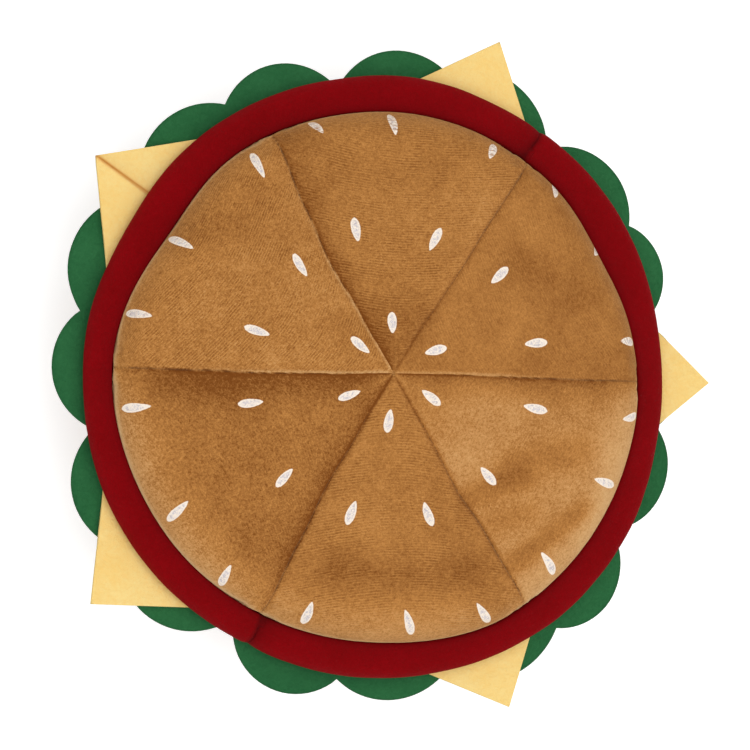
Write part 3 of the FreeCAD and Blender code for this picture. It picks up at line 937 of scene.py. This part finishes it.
def join_pinch(place, depth):
    """How far the cloth is drawn in by a join: one half slopes to it, the other drops over its edge."""
    off = min((turn_between(turn, turn_of(place)) for turn in JOIN_TURNS), key=abs)
    gap = reach_of(place) * math.radians(abs(off))
    return depth * (math.exp(-gap / JOIN_SLOPE) if off > 0 else bell(gap, JOIN_EDGE))


def join_side(place):
    """Which of the two lengths of cloth a place on a joined roll is on."""
    width = (JOIN_TURNS[1] - JOIN_TURNS[0]) % 360.0
    return 0 if (turn_of(place) - JOIN_TURNS[0]) % 360.0 < width else 1


def roll_shade(place, share):
    """Painted shade on the roll: darker towards the crown, which shades it, and in the joins."""
    high = 0.36 * clamped((share - 0.42) / 0.5) + 0.3 * ease(0.82, 0.96, share)
    return high + join_pinch(place, PINCH_SHADE)


def make_roll(name, roll, finish, slot, nodes, lumps=0.6, seed=0.0, shape=(), flange=0.0):
    """A stuffed roll of cloth, drawn in at its joins, cut into one piece for each node."""
    bm = bmesh.new()
    draw_roll(bm, roll, flange)
    whole = make_draft(name, bm)
    points = whole.data.vertices
    shares = [roll_share(p.co, roll) for p in points]
    pins = {index: 1.0 for index, share in enumerate(shares) if share < 0.01 or share > 0.99}
    settle_cloth(whole, pins, pressure=20.0, frames=15, cap=0.7, shrink=-0.008)
    # Painted shade on the red roll, towards the crown and in the joins
    paint(whole.data, "painted_shade", [roll_shade(p.co, s) if shape else 0.0 for p, s in zip(points, shares)])
    joined = len(nodes) > 1
    places = []
    for point, share in zip(points, shares):
        full = math.sin(math.pi * share)
        lift = lumps * full * (ripple(point.co, 34, seed) + 0.5 * ripple(point.co, 13, seed + 4))
        if joined:
            lift -= join_pinch(point.co, PINCH) * math.sqrt(full)
        places.append(lean_roll(point.co + point.normal * (lift * MM), roll, shape))
    move_points(whole.data, places)
    for number, node in enumerate(nodes):
        part = bmesh.new()
        part.from_mesh(whole.data)
        if joined:
            keep_faces(part, lambda face: join_side(face.calc_center_median()) == number)
        piece = make_piece(f"{slot}_{node}", part, finish, node=node)
        soften(piece)
        thicken(piece, CLOTH)
    bpy.data.objects.remove(whole)


def make_wadding(name, roll, finish, shape=()):
    """Loose fibre that fills a roll, in from its cloth to the lining."""
    bm = bmesh.new()
    middle, radius, first, last = roll_arc(*roll)
    inside = radius - CLOTH - COVER_GAP
    turns = (math.radians(first), math.radians(last))
    lower, upper = ((middle[0] + inside * math.cos(t), middle[1] + inside * math.sin(t)) for t in turns)
    inner = LINING_RADIUS + FILL_GAP
    top = carry_arc(bm, line_start(bm, *lower), middle, last - first, steps=12)
    high = carry_line(bm, top, inner, upper[1], steps=6)
    low = carry_line(bm, high, inner, lower[1], steps=6)
    carry_line(bm, low, *lower, steps=6)
    merge(bm)
    lathe(bm, FILL_TURNS)
    bm.normal_update()
    for vertex in bm.verts:
        sunk = vertex.co - vertex.normal * ((FIBRE_SINK + FIBRE_LUMPS * ripple(vertex.co, 7, 2)) * MM)
        vertex.co = lean_roll(sunk, roll, shape) if vertex.co.length > LEANS_FROM * MM else sunk
    piece = make_piece(f"fibre_{name}", bm, finish, node=name)


# Felt

# The frill's notches, as turns and depths, and how far the scallop after each notch reaches
FRILL_NOTCHES = (
    10.8, 29.2, 51, 74.5, 96.2, 118.3, 142, 167.2, 190.3, 214, 240, 264, 286, 308, 328.8, 350.7,
)
FRILL_DEPTHS = (
    138, 148.5, 140, 150, 138, 147, 140.5, 144, 136.5, 145.5, 131.5, 144, 144.5, 151.8, 140.5, 145,
)
FRILL_PEAKS = (
    155.5, 157, 158, 156, 155.5, 157, 157, 154, 154.6, 155.6, 155, 154, 159, 161, 156.8, 155,
)
SCALLOP_STEPS = 24
FRILL_RINGS = 16
FRILL_DROOP = 12.0
FRILL_SINK = 0.2

# The felt corners: turn, reach of the tip and of the hidden edge, and its spread to either side in degrees
CHEESE_TURNS = (-0.9, 68.1, 141.9, 218.2, 293.7)
CHEESE_TIPS = (168.1, 172.2, 170.0, 173.1, 171.4)
CHEESE_BASES = (139.8, 139.8, 134.6, 137.6, 139.8)
CHEESE_SIDES = ((10.3, 12.2), (12.4, 14.6), (18.3, 18.9), (18.1, 14.7), (14.6, 12.4))
CREASED = 2
CREASE_AT = -0.04
CREASED_WIDTH = 43.0


def scallop(number, share):
    """A place on the cut edge of one scallop, a share of the way from its first notch to its last."""
    notches = (number, (number + 1) % len(FRILL_NOTCHES))
    first, last = (out_at(math.radians(FRILL_NOTCHES[n])) * FRILL_DEPTHS[n] for n in notches)
    chord = last - first
    middle = (first + last) / 2
    sag = FRILL_PEAKS[number] - middle.length
    radius = (chord.length_squared / 4 + sag**2) / (2 * sag)
    spread = math.asin(min(chord.length / 2 / radius, 1.0))
    turn = spread * (2 * share - 1)
    along = chord.normalized() * (radius * math.sin(turn))
    out = chord.cross(UP).normalized() * (radius * math.cos(turn) - radius + sag)
    return middle + along + out


def frill_height(place, number, share):
    """How high the frill's top lies: flat to the seam, then drooping, each scallop by its own amount."""
    out = max(place.length - FRILL_SEAM, 0.0)
    droop = FRILL_DROOP * (0.75 + 0.35 * math.sin(number * 2.4))
    wave = 0.05 * out * math.sin(2 * math.pi * share + number)
    return FRILL_TOP - FRILL_SINK - out * math.tan(math.radians(droop)) + min(wave, 0.0)


def make_frill(finish):
    """One felt ring, cut in uneven scallops, sewn flat under the roll and drooping outside it."""
    count = len(FRILL_NOTCHES)
    bm = bmesh.new()
    carry_line(bm, line_start(bm, 1.0, 0.0), 2.0, 0.0, FRILL_RINGS)
    lathe(bm, count * SCALLOP_STEPS)
    for vertex in bm.verts:
        step = round(turn_of(vertex.co) / 360.0 * count * SCALLOP_STEPS)
        number = step // SCALLOP_STEPS % count
        share = step % SCALLOP_STEPS / SCALLOP_STEPS
        depth = reach_of(vertex.co) - 1.0
        first = FRILL_NOTCHES[number]
        width = (FRILL_NOTCHES[(number + 1) % count] - first) % 360
        sewn = out_at(math.radians(first + width * share)) * FRILL_INNER
        place = sewn.lerp(scallop(number, share), depth)
        place.z = frill_height(place, number, share)
        vertex.co = place * MM
    bmesh.ops.recalc_face_normals(bm, faces=bm.faces)
    face_away(bm, FAR_BELOW)
    area = sum(f.calc_area() for f in bm.faces)
    frill = make_piece("felt_lettuce_frill", bm, finish, node="lettuce_frill")
    thicken(frill, CLOTH)


def make_cheese(number, finish):
    """A felt corner that lies on the frill and goes in under the roll."""
    bm = bmesh.new()
    bmesh.ops.create_grid(bm, x_segments=18, y_segments=80, size=1.0)
    out = out_at(math.radians(CHEESE_TURNS[number]))
    side = UP.cross(out)
    painted_shade = bm.verts.layers.float.new("painted_shade")
    for vertex in bm.verts:
        reach = (vertex.co.x + 1) / 2
        across = vertex.co.y
        # Painted shade along the fold of the creased corner
        vertex[painted_shade] = fold_shade(number, reach, across)
        bend = math.radians(CHEESE_SIDES[number][across > 0] * across)
        base = (out * math.cos(bend) + side * math.sin(bend)) * cheese_base(number, math.degrees(bend))
        place = base.lerp(out * CHEESE_TIPS[number], reach)
        place.z = CHEESE_LEVEL + CLOTH / 2 + cheese_height(number, reach, across, place)
        vertex.co = place * MM
    merge(bm)
    bmesh.ops.recalc_face_normals(bm, faces=bm.faces)
    face_away(bm, FAR_BELOW)
    area = sum(f.calc_area() for f in bm.faces)
    spans = [[v.co.dot(way) for v in bm.verts] for way in (side, out)]
    flat = [max(span) - min(span) for span in spans]
    node = f"cheese_corner_{number + 1}"
    corner = make_piece(f"felt_{node}", bm, finish, body=None, node=node)
    thicken(corner, CLOTH)
    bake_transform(corner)


def cheese_base(number, bend):
    """How far out a corner's hidden edge lies: it follows the roll's lower seam."""
    turn = CHEESE_TURNS[number]
    seam, middle = (min(swell(way, ROLL_SHAPE), 0.0) for way in (turn + bend, turn))
    return CHEESE_BASES[number] + seam - middle


def fold_shade(number, reach, across):
    """How much painted shade lies along the fold of one corner, which was folded down its middle."""
    if number != CREASED:
        return 0.0
    off = (across - CREASE_AT) * (1.0 - reach) * CREASED_WIDTH
    return 0.75 * bell(off, 0.8) + (0.25 * math.exp(off / 5.0) if off < 0 else 0.0)


def cheese_height(number, reach, across, place):
    """The felt's own waves, and the fold down the middle of one corner, which stands up on one side of it."""
    height = 0.5 * ripple(place * MM, 26, number * 3.1) * reach
    off = CREASE_AT - across
    if number == CREASED and off > 0:
        height += 1.3 * math.exp(-off * (1.3 - reach) * 3.0) * (1.0 - ease(0.85, 1.0, reach))
    return max(height, 0.0)


# Inside

LINING_TURNS = 120
BAND_TURNS = 180
PADDING_INSET = 4.2
PADDING_LIFT = 0.4
PADDING_LUMPS = 0.8


def lining_arcs():
    return dome_arcs(LINING_RADIUS, LINING_SHOULDER, LINING_WALL, LINING_RISE)


def make_lining(finish):
    """A cap of woven cloth with a straight wall, which the head goes into."""
    bm = bmesh.new()
    shoulder_middle, top_middle, meeting = lining_arcs()
    start = line_start(bm, LINING_RADIUS, LINING_BOTTOM)
    wall = carry_line(bm, start, LINING_RADIUS, LINING_WALL, steps=20)
    bend = carry_arc(bm, wall, shoulder_middle, meeting, steps=12)
    carry_arc(bm, bend, top_middle, 90.0 - meeting, steps=16)
    lathe(bm, LINING_TURNS)
    face_away(bm, LINING_WALL / 2)
    area = sum(f.calc_area() for f in bm.faces)
    lining = make_piece("cotton_crown_lining", bm, finish, node="crown_lining")
    thicken(lining, LINING_CLOTH)


def make_sweatband(finish):
    """A band of ribbed tape round the opening."""
    bm = bmesh.new()
    outside = HEAD_RADIUS + BAND_CLOTH
    carry_line(bm, line_start(bm, outside, 0.0), outside, BAND_HEIGHT, steps=16)
    lathe(bm, BAND_TURNS)
    face_away(bm, BAND_HEIGHT / 2)
    band = make_piece("tape_sweatband", bm, finish, node="sweatband")
    thicken(band, BAND_CLOTH)


def make_base_ring(finish):
    """The flat ring of velour that closes the underside."""
    bm = bmesh.new()
    carry_line(bm, line_start(bm, BASE_INNER, CLOTH), HEEL[0][0], CLOTH, steps=8)
    lathe(bm, BAND_TURNS)
    face_away(bm, FAR_BELOW)
    ring = make_piece("velour_base_ring", bm, finish, node="base_ring")
    thicken(ring, CLOTH)


def make_padding(finish):
    """The dome of padding between the crown and the lining."""
    bm = bmesh.new()
    shoulder_middle, top_middle, meeting = crown_arcs(SEAM_RADIUS, SEAM_SHOULDER)
    inner_shoulder, inner_top, inner_meeting = lining_arcs()
    outside = SEAM_RADIUS - PADDING_INSET
    bottom = CROWN_BOTTOM + PADDING_LIFT
    start = line_start(bm, outside, bottom)
    wall = carry_line(bm, start, outside, CROWN_WIDEST, steps=3)
    bend = carry_arc(bm, wall, shoulder_middle, meeting, steps=8)
    apex = carry_arc(bm, bend, top_middle, 90.0 - meeting, steps=20)
    under = carry_line(bm, apex, 0.0, LINING_WALL + LINING_RISE + FILL_GAP)
    fall = carry_arc(bm, under, inner_top, inner_meeting - 90.0, steps=12)
    low = math.degrees(math.asin((bottom - LINING_WALL) / (LINING_SHOULDER + FILL_GAP)))
    rim = carry_arc(bm, fall, inner_shoulder, low - inner_meeting, steps=8)
    carry_line(bm, rim, outside, bottom, steps=6)
    merge(bm)
    lathe(bm, FILL_TURNS)
    bm.normal_update()
    for vertex in bm.verts:
        vertex.co -= vertex.normal * ((0.5 + 0.5 * ripple(vertex.co, 8, 5)) * PADDING_LUMPS * MM)
    piece = make_piece("fibre_crown_padding", bm, finish, node="crown_padding")


# Stage

GROUND_HALF = 4.0
GROUND_GAP = 0.5
GROUND_GLOW = 0.55
DOME_LIGHT = 0.55
# Each lamp's name, place in metres, spread in degrees and power
LAMPS = (("top_light", (-0.1, 0.0, 2.0), 60.0, 1.5), ("front_light", (0.5, -1.1, 1.5), 40.0, 0.3))
VIEW_TILT = 15.0
VIEW_DISTANCE = 6.0
VIEW_WIDTH = 0.3551
VIEW_AIM = (-2.24, 1.18, 84.4)


def make_stage():
    """White paper ground with the hat's shadow on it, soft studio light, and the camera."""
    bm = bmesh.new()
    bmesh.ops.create_grid(bm, x_segments=2, y_segments=2, size=GROUND_HALF)
    bmesh.ops.translate(bm, verts=bm.verts, vec=UP * (-GROUND_GAP * MM))
    paper = Finish("ground_paper")
    paper.feed_surface({"Base Color": (0.8, 0.8, 0.8, 1), "Roughness": 0.9})
    paper.feed_surface({"Emission Color": seen_straight(paper) * GROUND_GLOW, "Emission Strength": 1.0})
    ground = put_in_scene("ground", make_mesh("ground", bm, paper.material))
    light_studio()
    set_camera()


def seen_straight(nodes):
    """1 where the eye, or a mirror or glass, looks at the surface, and 0 for the light that it sends out."""
    ways = ("Camera", "Glossy", "Transmission")
    rays = [nodes.node("ShaderNodeLightPath", output=f"Is {way} Ray") for way in ways]
    return rays[0].highest(rays[1]).highest(rays[2])


def light_studio():
    """Even light from all round, with a broad lamp above and a weak one in front."""
    world = bpy.data.worlds.new("studio")
    bpy.context.scene.world = world
    world.use_nodes = True
    sky = Nodes(world.node_tree)
    dome = world.node_tree.nodes["Background"]
    light = (DOME_LIGHT, DOME_LIGHT, DOME_LIGHT, 1)
    sky.feed(dome.inputs["Color"], sky.mix(seen_straight(sky), light, (1, 1, 1, 1)))
    for name, place, spread, power in LAMPS:
        lamp = bpy.data.lights.new(name, "SUN")
        lamp.angle = math.radians(spread)
        lamp.energy = power
        holder = put_in_scene(name, lamp)
        holder.location = place
        holder.rotation_euler = (Vector(place) * -1).to_track_quat("-Z", "Y").to_euler()


def set_camera():
    """A long lens far above the hat and a little to its left, as in the photo."""
    lens = bpy.data.cameras.new("camera")
    camera = put_in_scene("camera", lens)
    tilt = math.radians(VIEW_TILT)
    aim = Vector(VIEW_AIM) * MM
    camera.location = aim + Vector((-math.sin(tilt), 0, math.cos(tilt))) * VIEW_DISTANCE
    camera.rotation_euler = (0, -tilt, 0)
    lens.lens = lens.sensor_width * VIEW_DISTANCE / VIEW_WIDTH
    lens.clip_end = 40.0
    bpy.context.scene.camera = camera
    bpy.context.scene.view_settings.view_transform = "Standard"


def make_hat():
    """Every piece of the hat, from the crown down, then what is inside it."""
    # The third dye of the red and yellow felts is the colour of their painted shade
    red = felt("tomato_felt", dye(122, 0, 3), dye(156, 0, 12), dye(80, 0, 3), sheen=0.03)
    brown = felt("patty_felt", dye(58, 32, 18), dye(102, 64, 40))
    green = felt("lettuce_felt", dye(32, 88, 50), dye(57, 122, 74))
    yellow = felt("cheese_felt", dye(252, 207, 116), dye(255, 236, 165), dye(206, 132, 52))
    plain_velour = velour("bun_velour_plain")
    fibre = fibre_fill("wadding_fibre")
    make_crown()
    reds = ["tomato_cover_left", "tomato_cover_right"]
    browns = ["patty_cover_left", "patty_cover_right"]
    make_roll("tomato", TOMATO, red, "tomato_felt", reds, lumps=0.4, seed=1.0, shape=ROLL_SHAPE, flange=6.0)
    make_roll("patty", PATTY, brown, "patty_felt", browns, lumps=1.2, seed=6.0)
    make_roll("heel", HEEL, plain_velour, "bun_velour", ["heel_cover"], seed=11.0)
    make_frill(green)
    for number in range(len(CHEESE_TURNS)):
        make_cheese(number, yellow)
    make_wadding("tomato_wadding", TOMATO, fibre, ROLL_SHAPE)
    make_wadding("patty_wadding", PATTY, fibre)
    make_wadding("heel_wadding", HEEL, fibre)
    make_padding(fibre)
    make_lining(woven("lining_cotton", dye(176, 166, 148), dye(224, 216, 200), (0.9, 0.9)))
    make_sweatband(woven("sweatband_tape", dye(122, 108, 88), dye(172, 156, 132), (0.9, 2.4)))
    make_base_ring(plain_velour)


make_hat()
make_stage()
